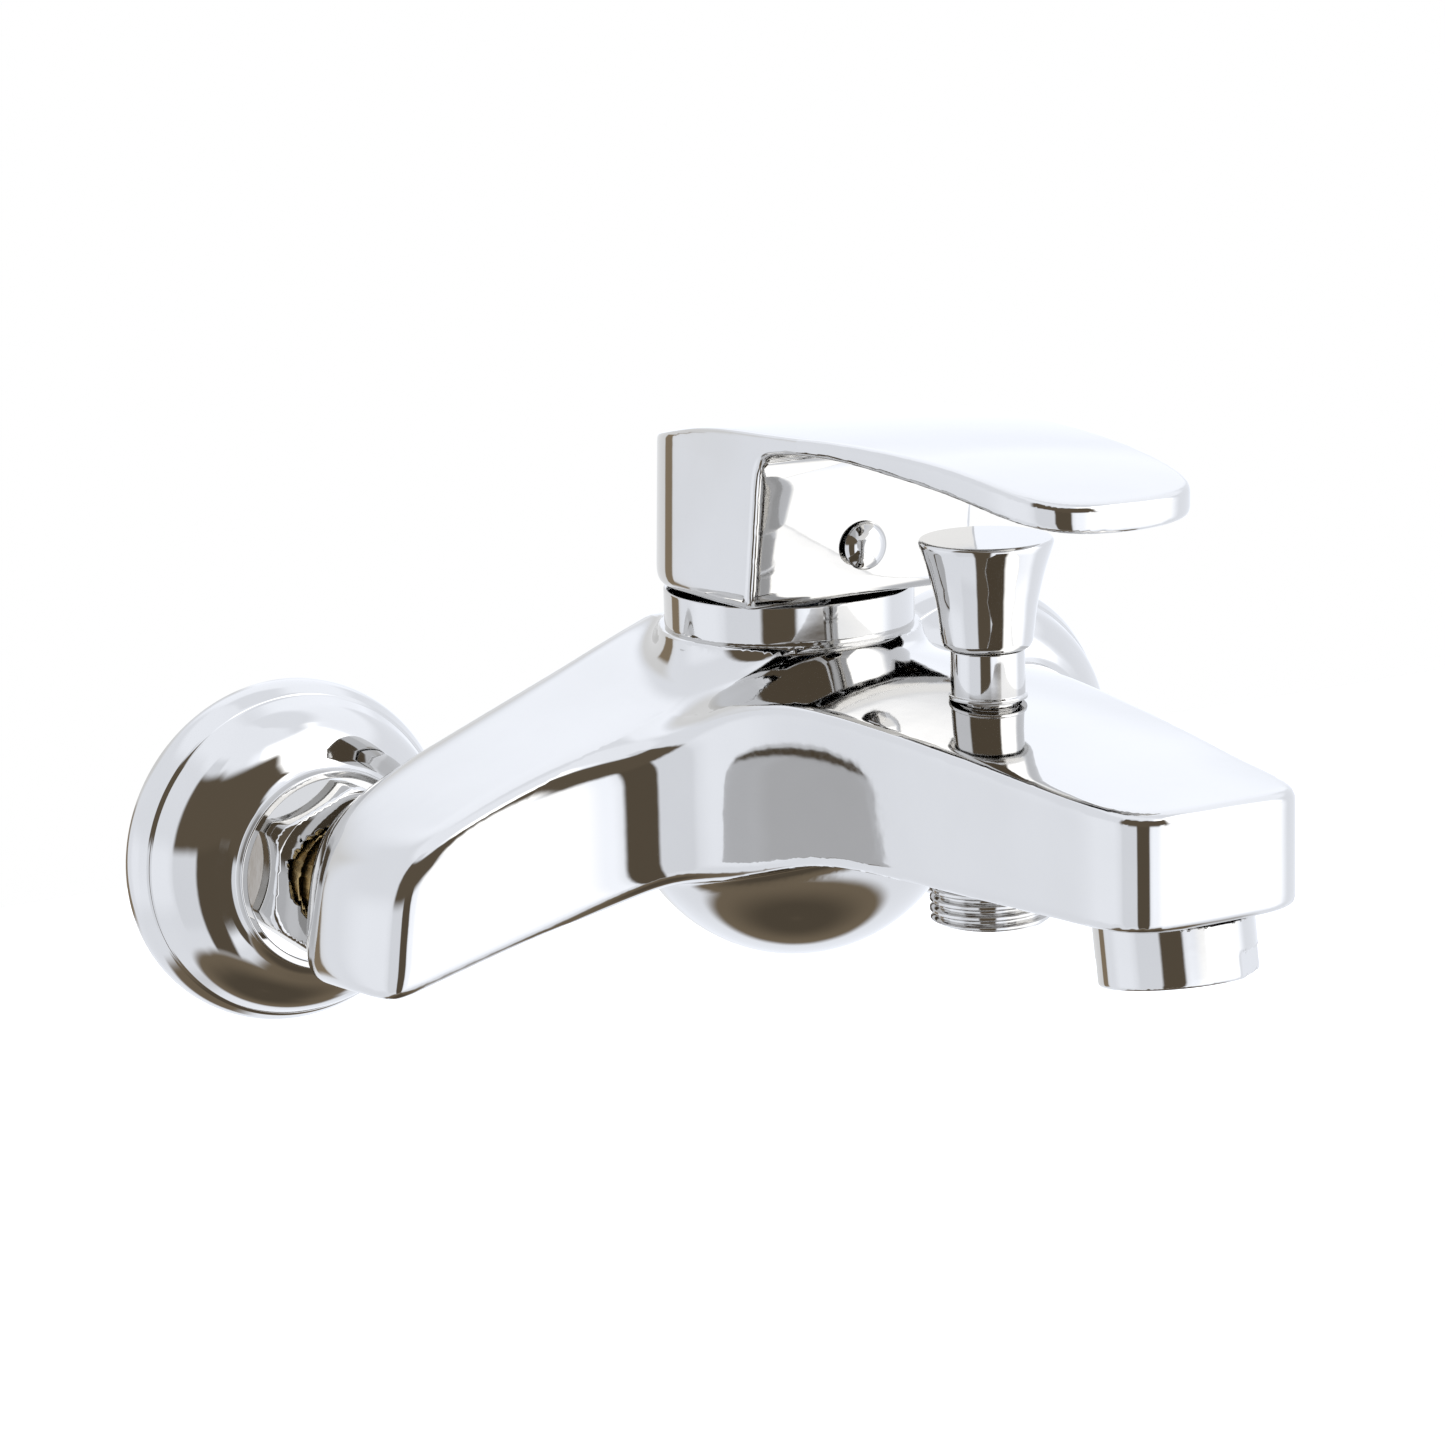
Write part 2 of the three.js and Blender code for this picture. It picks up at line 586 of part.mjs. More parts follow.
place('body', bodyGeometry(), chrome());
place('cartridge_seal', portedDisc(15.5, CHAMBER_FLOOR_Z + GAP, 9.5, 3.4, 28), rubber());
place('cartridge_base', portedDisc(17.4, 9.8, 13, 3), plastic(0xd8d8d4));
place('ceramic_disc_fixed', portedDisc(13.6, 13.3, 16.3, 2.7), ceramic());
place('ceramic_disc_moving', movingDiscGeometry(), ceramic());
place('cartridge_housing', housingGeometry(), plastic(0xe4e4e0));
place('cartridge_nut', cartridgeNutGeometry(), brass());
place('cartridge_rotor', rotorGeometry(), plastic(0x3a5fa0));
place('cartridge_pivot_pin', pivotPinGeometry(), steel());
place('cartridge_stem', stemGeometry(), steel());
place('cap_ring', capRingGeometry(), chrome());
place('handle', handleGeometry(), chrome());
place('handle_set_screw', setScrewGeometry(), steel());
place('screw_cap', screwCapGeometry(), chrome());

place('diverter_knob', knobGeometry(), chrome());
place('diverter_stem', diverterStemGeometry(), brass());
place('diverter_sleeve', sleeveGeometry(), chrome());
place('diverter_o_ring', ringGeometry(2.2, 3.6, 42.3, 44.1, DIVERTER_Y, 20), rubber());
place('diverter_valve_disc', ringGeometry(2.2, 7.3, 20.3, 23, DIVERTER_Y), rubber());
place('shower_outlet', showerOutletGeometry(), chrome());

place('aerator_housing', aeratorHousingGeometry(), chrome());
place('aerator_insert', aeratorInsertGeometry(), plastic(0xe8e8e6));
place('aerator_diffuser', screenGeometry(7.3, 1.4, 1, 1.1, [[5, 2.6], [9, 5.4]]), plastic(0xdfe3e8));
place('aerator_screen', screenGeometry(8.6, 0.7, -10.2, 1, [[6, 2.8], [10, 6]]), steel());
place('aerator_washer', aeratorWasherGeometry(), rubber());

for (const side of [-1, 1]) {
  const label = side < 0 ? 'left' : 'right';
  const inlet = new THREE.Group();
  inlet.position.x = side * INLET_X;
  mixer.add(inlet);
  place(`union_tail_${label}`, unionTailGeometry(), brass(), inlet);
  place(`union_nut_${label}`, unionNutGeometry(), chrome(), inlet);
  place(`union_gasket_${label}`, unionGasketGeometry(), rubber(), inlet);
  place(`wall_connector_${label}`, wallConnectorGeometry(side), chrome(), inlet);
  place(`escutcheon_${label}`, escutcheonGeometry(), chrome(), inlet);
}

export default mixer;
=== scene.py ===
"""Chrome wall mounted bath mixer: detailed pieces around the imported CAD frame.

Lengths in the modelling code are millimetres in the CAD frame; meshes are written in metres.
"""

import json
import math

import bpy
import numpy as np
from mathutils import Matrix, Vector

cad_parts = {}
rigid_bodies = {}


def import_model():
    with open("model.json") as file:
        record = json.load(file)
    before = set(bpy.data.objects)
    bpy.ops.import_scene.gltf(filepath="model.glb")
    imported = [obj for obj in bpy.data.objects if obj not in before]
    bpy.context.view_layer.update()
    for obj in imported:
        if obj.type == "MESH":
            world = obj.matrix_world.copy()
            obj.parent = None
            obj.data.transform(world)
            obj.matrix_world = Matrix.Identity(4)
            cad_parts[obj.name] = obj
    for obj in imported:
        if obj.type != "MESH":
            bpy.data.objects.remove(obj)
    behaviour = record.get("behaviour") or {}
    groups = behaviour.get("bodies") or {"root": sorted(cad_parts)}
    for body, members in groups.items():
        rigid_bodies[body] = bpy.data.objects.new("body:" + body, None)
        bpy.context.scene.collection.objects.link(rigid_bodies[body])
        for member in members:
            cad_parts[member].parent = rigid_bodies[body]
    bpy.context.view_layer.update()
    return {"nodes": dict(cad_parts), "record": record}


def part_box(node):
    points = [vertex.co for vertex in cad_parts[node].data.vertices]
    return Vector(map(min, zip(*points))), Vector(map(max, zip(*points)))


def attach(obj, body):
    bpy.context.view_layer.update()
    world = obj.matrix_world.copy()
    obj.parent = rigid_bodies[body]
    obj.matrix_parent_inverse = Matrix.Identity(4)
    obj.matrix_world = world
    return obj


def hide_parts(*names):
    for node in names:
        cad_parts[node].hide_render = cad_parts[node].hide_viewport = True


for leftover in list(bpy.data.objects):
    bpy.data.objects.remove(leftover)

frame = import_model()
MM = 0.001


def box_mm(node):
    """Lowest and highest corner of a CAD node in millimetres."""
    low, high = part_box(node)
    return np.array(low) / MM, np.array(high) / MM


BODY_LOW, BODY_HIGH = box_mm("body")
HANDLE_LOW, HANDLE_HIGH = box_mm("handle")
RING_LOW, RING_HIGH = box_mm("cap_ring")
KNOB_LOW, KNOB_HIGH = box_mm("diverter_knob")
SLEEVE_HIGH = box_mm("diverter_sleeve")[1]
OUTLET_LOW, OUTLET_HIGH = box_mm("shower_outlet")
AERATOR_LOW, AERATOR_HIGH = box_mm("aerator_housing")
CAP_LOW, CAP_HIGH = box_mm("screw_cap")
CARTRIDGE_Y = (RING_LOW[1] + RING_HIGH[1]) / 2
DIVERTER_Y = (KNOB_LOW[1] + KNOB_HIGH[1]) / 2
SCREW_Z = (CAP_LOW[2] + CAP_HIGH[2]) / 2
INLET_X = 75
ARM_FRONT_Y = -65
BODY_BACK_Y = -28
SPOUT_REACH = 189
LEVER_REACH = 165.6
NECK_R = 23.7
BELLY_R = 31.5
AERATOR_Y = -174
AERATOR_TOP_Z = 14.3
AERATOR_TILT = math.radians(9)
FLAT_TURN = math.radians(38)
NUT_TURN = math.radians(-8)
NUT_HALF_FLATS = 15
THREAD_PITCH = 1.814
THREAD_DEPTH = 1.05
HOSE_THREAD_R = 10.48
WALL_THREAD_R = 10.3
WALL_STUB_OFFSET = 4


# ---- Numbers along curves ----
def ramp(value, low, high):
    t = np.clip((value - low) / (high - low), 0, 1)
    return t * t * (3 - 2 * t)


def smooth_max(a, b, blend):
    """The larger of a and b, eased over blend; an edge between planes gets a radius of 0.57 blend."""
    h = np.maximum(blend - np.abs(a - b), 0) / blend
    return np.maximum(a, b) + h**3 * blend / 6


def smooth_min(a, b, blend):
    return -smooth_max(-a, -b, blend)


def curve_through(points):
    """A smooth height over a distance, through points (distance, height)."""
    at = np.array([p[0] for p in points], float)
    height = np.array([p[1] for p in points], float)
    slope = np.gradient(height, at)

    def value(t):
        t = np.clip(t, at[0], at[-1])
        i = np.clip(np.searchsorted(at, t, side="right") - 1, 0, len(at) - 2)
        span = at[i + 1] - at[i]
        u = (t - at[i]) / span
        start = (2 * u**3 - 3 * u**2 + 1) * height[i] + (u**3 - 2 * u**2 + u) * span * slope[i]
        end = (3 * u**2 - 2 * u**3) * height[i + 1] + (u**3 - u**2) * span * slope[i + 1]
        return start + end

    return value


# ---- Meshes ----
def make_object(name, vertices, faces, normals):
    """A smooth mesh object from millimetre vertices and their outward normals."""
    mesh = bpy.data.meshes.new(name)
    mesh.from_pydata((np.asarray(vertices) * MM).tolist(), [], np.asarray(faces).tolist())
    mesh.polygons.foreach_set("use_smooth", np.ones(len(mesh.polygons), bool))
    mesh.update()
    mesh.normals_split_custom_set_from_vertices(np.asarray(normals).tolist())
    obj = bpy.data.objects.new(name, mesh)
    bpy.context.scene.collection.objects.link(obj)
    return obj


def gradient(field, points, reach=0.02):
    """Slope of a field at points, by central differences."""
    slopes = []
    for axis in range(3):
        step = np.zeros(3)
        step[axis] = reach
        ahead = field(*(points + step).T)
        behind = field(*(points - step).T)
        slopes.append((ahead - behind) / (2 * reach))
    return np.stack(slopes, axis=1)


def surface_net(name, field, low, high, step):
    """A quad mesh of field = 0 inside a box, its points drawn onto the surface."""
    axes = [np.arange(a - step, b + 2 * step, step) for a, b in zip(low, high)]
    grid = np.meshgrid(*axes, indexing="ij")
    values = field(*grid)
    inside = values < 0
    cells = np.array(values.shape) - 1
    total = np.zeros((*cells, 3))
    count = np.zeros(cells)
    quads = []
    number = np.full(cells, -1)
    crossings = []
    for axis in range(3):
        near = [slice(None)] * 3
        far = [slice(None)] * 3
        near[axis], far[axis] = slice(0, -1), slice(1, None)
        near, far = tuple(near), tuple(far)
        crossing = inside[near] != inside[far]
        share = values[near] / np.where(crossing, values[near] - values[far], 1)
        spot = [g[near] + (share * step if i == axis else 0) for i, g in enumerate(grid)]
        crossings.append((axis, crossing, inside[near]))
        others = [i for i in range(3) if i != axis]
        for shift_a in (0, 1):
            for shift_b in (0, 1):
                part = [slice(None)] * 3
                for other, shift in zip(others, (shift_a, shift_b)):
                    part[other] = slice(shift, cells[other] + shift)
                part = tuple(part)
                here = crossing[part]
                count += here
                for i in range(3):
                    total[..., i] += np.where(here, spot[i][part], 0)
    used = count > 0
    number[used] = np.arange(used.sum())
    points = total[used] / count[used][:, None]
    for axis, crossing, starts_inside in crossings:
        a, b = [i for i in range(3) if i != axis]
        edges = np.argwhere(crossing)
        edges = edges[(edges[:, a] > 0) & (edges[:, b] > 0)]
        edges = edges[(edges[:, a] < cells[a]) & (edges[:, b] < cells[b])]
        corners = []
        for shift_a, shift_b in ((1, 1), (0, 1), (0, 0), (1, 0)):
            cell = edges.copy()
            cell[:, a] -= shift_a
            cell[:, b] -= shift_b
            corners.append(number[tuple(cell.T)])
        quad = np.stack(corners, axis=1)
        flip = starts_inside[tuple(edges.T)] != (axis != 1)
        quad[flip] = quad[flip][:, ::-1]
        quads.append(quad)
    for _ in range(4):
        slope = gradient(field, points)
        length = np.maximum((slope**2).sum(1), 0.05)
        move = (field(*points.T) / length)[:, None] * slope
        size = np.linalg.norm(move, axis=1, keepdims=True)
        points = points - move * np.minimum(1, 0.6 * step / np.maximum(size, 1e-9))
    points = np.clip(points, low, high)
    slope = gradient(field, points)
    normals = slope / np.maximum(np.linalg.norm(slope, axis=1, keepdims=True), 1e-9)
    return make_object(name, points, np.concatenate(quads), normals)


def rounded(corners, steps=5):
    """A closed outline through corners (a, b, radius), with its outward normals."""
    points, tangents = [], []
    total = len(corners)
    for i, (a, b, radius) in enumerate(corners):
        corner = np.array([a, b], float)
        before = np.array(corners[i - 1][:2], float) - corner
        after = np.array(corners[(i + 1) % total][:2], float) - corner
        before /= np.linalg.norm(before)
        after /= np.linalg.norm(after)
        for k in range(steps + 1):
            u = k / steps
            start, end = corner + radius * before, corner + radius * after
            points.append((1 - u) ** 2 * start + 2 * u * (1 - u) * corner + u * u * end)
            tangents.append(-(1 - u) * before + u * after)
    points = np.array(points)
    tangents = np.array(tangents)
    tangents /= np.linalg.norm(tangents, axis=1, keepdims=True)
    x, y = points[:, 0], points[:, 1]
    area = (x * np.roll(y, -1) - y * np.roll(x, -1)).sum()
    normals = np.stack([tangents[:, 1], -tangents[:, 0]], axis=1) * np.sign(area)
    return points, normals


def turned(name, corners, centre, axis="z", segments=128, steps=5):
    """A closed outline of corners (radius, height, rounding) turned about an axis."""
    outline, slopes = rounded(corners, steps)
    count = len(outline)
    turn = np.linspace(0, 2 * math.pi, segments, endpoint=False)
    cos, sin = np.cos(turn)[:, None], np.sin(turn)[:, None]
    radius, height = outline[:, 0][None], outline[:, 1][None]
    out, up = slopes[:, 0][None], slopes[:, 1][None]
    ones = np.ones_like(cos)
    if axis == "z":
        vertices = np.stack([radius * cos, radius * sin, height * ones], axis=-1)
        normals = np.stack([out * cos, out * sin, up * ones], axis=-1)
    else:
        vertices = np.stack([radius * cos, height * ones, -radius * sin], axis=-1)
        normals = np.stack([out * cos, up * ones, -out * sin], axis=-1)
    i, j = np.meshgrid(np.arange(segments), np.arange(count), indexing="ij")
    ni, nj = (i + 1) % segments, (j + 1) % count
    faces = np.stack([i * count + j, ni * count + j, ni * count + nj, i * count + nj], axis=-1)
    x, y = outline[:, 0], outline[:, 1]
    if (x * np.roll(y, -1) - y * np.roll(x, -1)).sum() < 0:
        faces = faces[..., ::-1]
    vertices = vertices.reshape(-1, 3) + np.array(centre)
    return make_object(name, vertices, faces.reshape(-1, 4), normals.reshape(-1, 3))


# ---- Body casting ----
def arm_top(s, y):
    front = 30.2 - 0.22 * (s - 30) - 0.0025 * (s - 30) ** 2
    ridge = 42.6 - 0.405 * (s - 14) - 0.006 * np.maximum(0, s - 60) ** 2
    back = np.minimum(43.4, smooth_max(front, ridge, 3))
    return front + (back - front) * np.clip((y + 65) / 37, 0, 1)


def spout_half_width(t):
    return 30 - 0.1008 * (t - 65)


SPOUT_CREST = curve_through([
    (30, 41.6), (60, 41.8), (80, 42), (100, 40.9), (122, 39.5), (145, 37.7), (168, 35.8), (189, 34.3),
])
SPOUT_CREASE = curve_through([
    (40, 30), (66, 30.4), (75, 32.6), (82, 34.6), (90, 36.3), (98, 37.5), (110, 38.1), (121, 37.9),
    (135, 37.3), (150, 36.4), (168, 35), (189, 33.9),
])
SPOUT_BOTTOM = curve_through([
    (40, 0.4), (60, 0.2), (68, 0.8), (80, 3.4), (90, 6.5), (98, 8.9), (106, 10.8), (116, 12.1),
    (130, 12.8), (158, 13.8), (189, 15),
])


def spout_top(x, t):
    crease, crest = SPOUT_CREASE(t), SPOUT_CREST(t)
    across = np.clip(np.abs(x) / spout_half_width(t), 0, 1)
    return crease + (crest - crease) * (1 - across**2)


def body_field(x, y, z):
    """Negative inside the casting, positive outside."""
    s, t = np.abs(x), -y
    half = spout_half_width(t)
    walls = smooth_min(ARM_FRONT_Y - y, (s - half) * 0.995, 46)
    walls = smooth_max(walls, t - SPOUT_REACH, 16)
    beyond_arm = np.maximum(0, ARM_FRONT_Y - y)
    beyond_spout = np.maximum(0, s - half)
    arm = arm_top(np.maximum(s, 14), y) - 0.4 * beyond_arm
    spout = spout_top(x, t) - 0.5 * beyond_spout
    top = smooth_max(arm, spout, 6)
    arm_low = -0.3 - 0.26 * (np.maximum(s, 26) - 33.7) - 2.2 * ramp(y, -60, -30)
    low = smooth_min(arm_low + 0.3 * beyond_arm, SPOUT_BOTTOM(t) + 0.3 * beyond_spout, 4)
    bulge = 90 - 5 * (np.clip(y + 43, -24, 0) / 22) ** 2 - 2.4 * (np.maximum(0, y + 43) / 11) ** 2
    bulge = bulge - 0.12 * np.maximum(0, z + 14)
    caps = smooth_max((z - top) * 0.93, s - bulge, 12)
    caps = smooth_max(caps, (low - z) * 0.97, 5 + 7 * ramp(y, -66, -42))
    casting = smooth_max(walls, caps, 6 - 3.4 * ramp(t, 66, 96))
    casting = smooth_max(casting, y - BODY_BACK_Y, 10)
    radius = np.hypot(x, y - CARTRIDGE_Y)
    neck = smooth_max(radius - NECK_R, 20 - z, 2)
    casting = smooth_min(casting, neck, 9)
    bowl = np.sqrt(radius**2 + (z - BODY_LOW[2] - BELLY_R) ** 2) - BELLY_R
    bowl = smooth_max(smooth_max(bowl, y - BODY_BACK_Y + 0.5, 1), z - 8, 1)
    casting = smooth_min(casting, bowl, 3)
    casting = smooth_max(casting, z - BODY_HIGH[2] - 3 * ramp(radius, 24, 27), 1.2)
    for bore in body_bores(x, y, z):
        casting = np.maximum(casting, -bore)
    return casting


def body_bores(x, y, z):
    """Fields of the cartridge chamber, diverter, outlet, aerator and inlet bores."""
    yield np.maximum(np.hypot(x, y - CARTRIDGE_Y) - 17.8, 8 - z)
    off_diverter = np.hypot(x, y - DIVERTER_Y)
    yield np.maximum(off_diverter - 5.6, 30 - z)
    yield np.maximum(off_diverter - 8.2, z - 33)
    cos, sin = math.cos(AERATOR_TILT), math.sin(AERATOR_TILT)
    up = (z - AERATOR_TOP_Z) * cos + (y - AERATOR_Y) * sin
    along = (y - AERATOR_Y) * cos - (z - AERATOR_TOP_Z) * sin
    yield np.maximum(np.hypot(x, along) - 10.9, up - 10.6)
    yield np.maximum(np.hypot(np.abs(x) - INLET_X, z) - 9.9, -46 - y)


# ---- Handle ----
LEVER_TOP = curve_through([
    (34, 75.6), (52, 78.7), (66, 81.3), (89, 83.5), (105, 84.3), (123, 84.3), (137, 83.6), (151, 81.9),
    (164.5, 79.4),
])
LEVER_UNDER = curve_through([
    (34, 77.5), (80, 78.2), (89, 79), (95, 79.8), (107, 80.4), (123, 79.6), (141, 77.9), (154, 75.9),
    (165.6, 74.1),
])


def handle_side(x, y):
    """Plan distance outside the handle: round behind, tapering lever, round tip."""
    t = -y
    half = 24 - 1.55 * ramp(t, 58, 104) - 0.091 * np.maximum(0, t - 98)
    side = np.where(t > -CARTRIDGE_Y, np.abs(x) - half, np.hypot(x, y - CARTRIDGE_Y) - 24)
    return smooth_max(side, t - LEVER_REACH, 22)


def handle_field(x, y, z):
    """Negative inside the hollow handle, positive outside."""
    t = -y
    side = handle_side(x, y) + 0.2 + 0.035 * np.clip(z - HANDLE_LOW[2], 0, 26) * ramp(y, -90, -60)
    front = (-82 - 0.135 * (z - HANDLE_LOW[2]) - y) * 0.99
    under = LEVER_UNDER(t) - z
    profile = smooth_min(under, front, 7)
    across = np.clip(np.abs(x) / 22, 0, 1.2)
    top = LEVER_TOP(t) - 0.9 * across**2 * ramp(t, 60, 100)
    solid = smooth_max(side, profile, 2.1)
    solid = smooth_max(solid, z - top, 1.7)
    solid = smooth_max(solid, HANDLE_LOW[2] - z, 4.2)
    roof = np.maximum(front + 2.8, z - 72.2)
    solid = np.maximum(solid, -smooth_max(side + 1.5, roof, 3))
    off_axis = np.hypot(x, y - CARTRIDGE_Y)
    hub = np.maximum(np.maximum(off_axis - 7.6, 52.6 - z), z - 74)
    off_screw = np.hypot(x, z - SCREW_Z)
    boss = np.maximum(np.maximum(off_screw - 5, y - CARTRIDGE_Y), -82.5 - y)
    solid = np.minimum(solid, np.minimum(hub, boss))
    socket = np.maximum(np.maximum(np.abs(x), np.abs(y - CARTRIDGE_Y)) - 4.3, z - 64.5)
    screw = np.maximum(off_screw - 2.8, y - CARTRIDGE_Y)
    plug = np.maximum(off_screw - 3.3, y + 75)
    for hole in (socket, screw, plug):
        solid = np.maximum(solid, -hole)
    return solid


def build_castings():
    body = surface_net("casting", body_field, BODY_LOW, BODY_HIGH, 1.15)
    handle = surface_net("lever_handle", handle_field, HANDLE_LOW, HANDLE_HIGH, 0.75)
    return body, handle


# ---- Turned and threaded trim ----
def trim_ring():
    low, top, r = RING_LOW[2], RING_HIGH[2], RING_HIGH[0]
    corners = [
        (r - 1.8, low, 0.2), (r - 0.15, low, 0.35), (r, low + 1, 0.3), (r, top, 0.5), (15, top, 0.3),
        (15, top - 1.4, 0.3), (r - 2.2, top - 1.6, 0.6), (r - 1.8, low + 4, 0.5),
    ]
    return turned("trim_ring", corners, (0, CARTRIDGE_Y, 0), segments=160)


def knob():
    low, top = KNOB_LOW[2], KNOB_HIGH[2]
    corners = [
        (0.02, 62.3, 0.01), (2.2, 62.3, 0.1), (2.2, low, 0.2), (7.2, low, 0.5), (7.7, low + 0.9, 0.4),
        (8.5, 56, 2), (9.8, 61.5, 2), (11.3, top - 1.2, 0.3), (11.45, top - 0.5, 0.3), (11.1, top, 0.25),
        (0.02, top, 0.01),
    ]
    return turned("knob", corners, (0, DIVERTER_Y, 0))


def sleeve():
    top = SLEEVE_HIGH[2]
    corners = [
        (2.3, 33.3, 0.2), (5.3, 33.3, 0.3), (5.3, 39.9, 0.1), (6.7, 39.9, 0.2), (6.7, 40.5, 0.2),
        (6.3, 40.7, 0.1), (6.3, top, 0.3), (2.3, top, 0.2), (2.3, 44.4, 0.1), (3.9, 44.4, 0.2),
        (3.9, 42, 0.2), (2.3, 42, 0.1),
    ]
    return turned("sleeve", corners, (0, DIVERTER_Y, 0), segments=96)


def screw_plug():
    seat = CAP_LOW[1] + 1.9
    corners = [
        (0.02, seat - 1.9, 0.01), (1.7, seat - 1.8, 0.7), (3.3, seat - 1.2, 0.7), (4.1, seat - 0.45, 0.35),
        (4.35, seat + 0.05, 0.15), (3, seat + 0.05, 0.2), (3, CAP_HIGH[1], 0.3), (0.02, CAP_HIGH[1], 0.01),
    ]
    return turned("screw_plug", corners, (0, 0, SCREW_Z), axis="y", segments=72)


def thread_radius(axial, turn, crest, low, high):
    """Radius of a rounded screw thread that fades in at its low end and out at its high end."""
    phase = (axial / THREAD_PITCH - turn / (2 * math.pi)) % 1
    wave = np.clip((0.5 - np.abs(phase - 0.5)) * 3.2 - 0.25, 0, 1)
    wave = wave * wave * (3 - 2 * wave)
    fade = ramp(axial, low, low + 0.6) * (1 - ramp(axial, high - 0.8, high))
    return crest - THREAD_DEPTH + THREAD_DEPTH * wave * fade


def threaded(name, radius_at, low, high, bore, rows, centre, axis="z", segments=96):
    """A threaded tube: radius_at(axial, turn) outside, a plain bore inside, chamfered ends."""
    axial = np.linspace(low, high, rows)
    turn = np.linspace(0, 2 * math.pi, segments, endpoint=False)
    A, T = np.meshgrid(axial, turn, indexing="ij")
    R = radius_at(A, T)
    d = 0.02
    slope_a = (radius_at(A + d, T) - radius_at(A - d, T)) / (2 * d)
    slope_t = (radius_at(A, T + d) - radius_at(A, T - d)) / (2 * d)
    out = np.ones_like(R)
    tangential = -slope_t / R
    inner = [(bore + 0.3, high), (bore, high - 0.3), (bore, low + 0.3), (bore + 0.3, low)]
    rows_v = [np.stack([R * np.cos(T), R * np.sin(T), A], -1)]
    rows_n = [np.stack([
        out * np.cos(T) - tangential * np.sin(T), out * np.sin(T) + tangential * np.cos(T), -slope_a,
    ], -1)]
    cos, sin = np.cos(turn), np.sin(turn)

    def add(radius, height, n_out, n_up):
        rows_v.append(np.stack([radius * cos, radius * sin, np.full_like(turn, height)], -1)[None])
        rows_n.append(np.stack([n_out * cos, n_out * sin, np.full_like(turn, n_up)], -1)[None])

    end_r = R[-1].min()
    start_r = R[0].min()
    add(end_r - 0.02, high, 0, 1)
    add(inner[0][0], high, 0, 1)
    add(inner[1][0], inner[1][1], -1, 0)
    add(inner[2][0], inner[2][1], -1, 0)
    add(inner[3][0], low, 0, -1)
    add(start_r - 0.02, low, 0, -1)
    vertices = np.concatenate(rows_v)
    normals = np.concatenate(rows_n)
    normals /= np.linalg.norm(normals, axis=-1, keepdims=True)
    n = vertices.shape[0]
    i, j = np.meshgrid(np.arange(n), np.arange(segments), indexing="ij")
    ni, nj = (i + 1) % n, (j + 1) % segments
    faces = np.stack([i * segments + j, i * segments + nj, ni * segments + nj, ni * segments + j], -1)
    if axis == "y":
        swap = np.array([[1, 0, 0], [0, 0, 1], [0, -1, 0]], float)
        vertices, normals = vertices @ swap.T, normals @ swap.T
    vertices = vertices.reshape(-1, 3) + np.array(centre)
    return make_object(name, vertices, faces.reshape(-1, 4), normals.reshape(-1, 3))


def hose_nipple():
    low = OUTLET_LOW[2]

    def radius_at(axial, turn):
        thread = thread_radius(axial, turn, HOSE_THREAD_R, low, 10.6)
        shoulder = 10.6 * ramp(axial, 10.9, 11.15) - 2.7 * ramp(axial, 11.65, 11.7)
        return np.where(axial > 10.9, np.maximum(thread - 2.7 * ramp(axial, 11.65, 11.7), shoulder), thread)

    return threaded("hose_nipple", radius_at, low, OUTLET_HIGH[2], 6.2, 190, (0, DIVERTER_Y, 0))


def wall_stub(side, label):
    low, high = box_mm(f"wall_connector_{label}")
    middle = side * INLET_X
    end = high[1]
    collar = turned(f"connector_collar_{label}", [
        (8, low[1], 0.3), (12.9, low[1], 0.8), (12.9, -6.2, 0.2), (14.2, -6.2, 0.6), (14.2, -2, 0.8),
        (11, -1.6, 0.3), (8, -1.8, 0.3),
    ], (middle, 0, 0), axis="y", segments=96)

    def radius_at(axial, turn):
        return thread_radius(axial, turn, WALL_THREAD_R, -1, end)

    centre = (middle + side * WALL_STUB_OFFSET, 0, 0)
    stub = threaded(f"connector_thread_{label}", radius_at, -3.2, end, 6.8, 170, centre, "y")
    return collar, stub


def cover(label, side):
    corners = [
        (32.1, 0, 0.3), (32.1, -2.6, 1.8), (30.3, -5.9, 0.3), (29.8, -6.3, 0.3), (27.8, -11.4, 2.4),
        (23.8, -15.4, 2.4), (19.6, -17.5, 0.7), (18.6, -18.4, 0.3), (18.4, -20.4, 0.3),
        (17.1, -20.4, 0.3), (17.1, -17.2, 0.6), (22.4, -14.6, 1.6), (26.4, -10.4, 1.6), (28.2, -5.6, 1.2),
        (30.9, 0, 0.2),
    ]
    return turned(f"wall_cover_{label}", corners, (side * INLET_X, 0, 0), axis="y", segments=160)


def nut(label, side):
    low, high = box_mm(f"union_nut_{label}")
    facings = [(math.cos(NUT_TURN + k * math.pi / 3), math.sin(NUT_TURN + k * math.pi / 3)) for k in range(6)]

    def field(x, y, z):
        across = x - side * INLET_X
        hexagon = across * facings[0][0] + z * facings[0][1] - NUT_HALF_FLATS
        for right, up in facings[1:]:
            hexagon = smooth_max(hexagon, across * right + z * up - NUT_HALF_FLATS, 0.7)
        radius = np.hypot(across, z)
        near_end = np.maximum(low[1] + 0.9 - y, y - high[1] + 0.9)
        solid = smooth_max(hexagon, (radius - 16.6 + np.maximum(0, near_end)) * 0.75, 0.3)
        solid = smooth_max(solid, np.maximum(low[1] - y, y - high[1]), 0.7)
        bore = np.where(y > -21, radius - 13.2, radius - 10.1)
        return np.maximum(solid, -bore)

    return surface_net(f"hex_nut_{label}", field, low, high, 0.6)


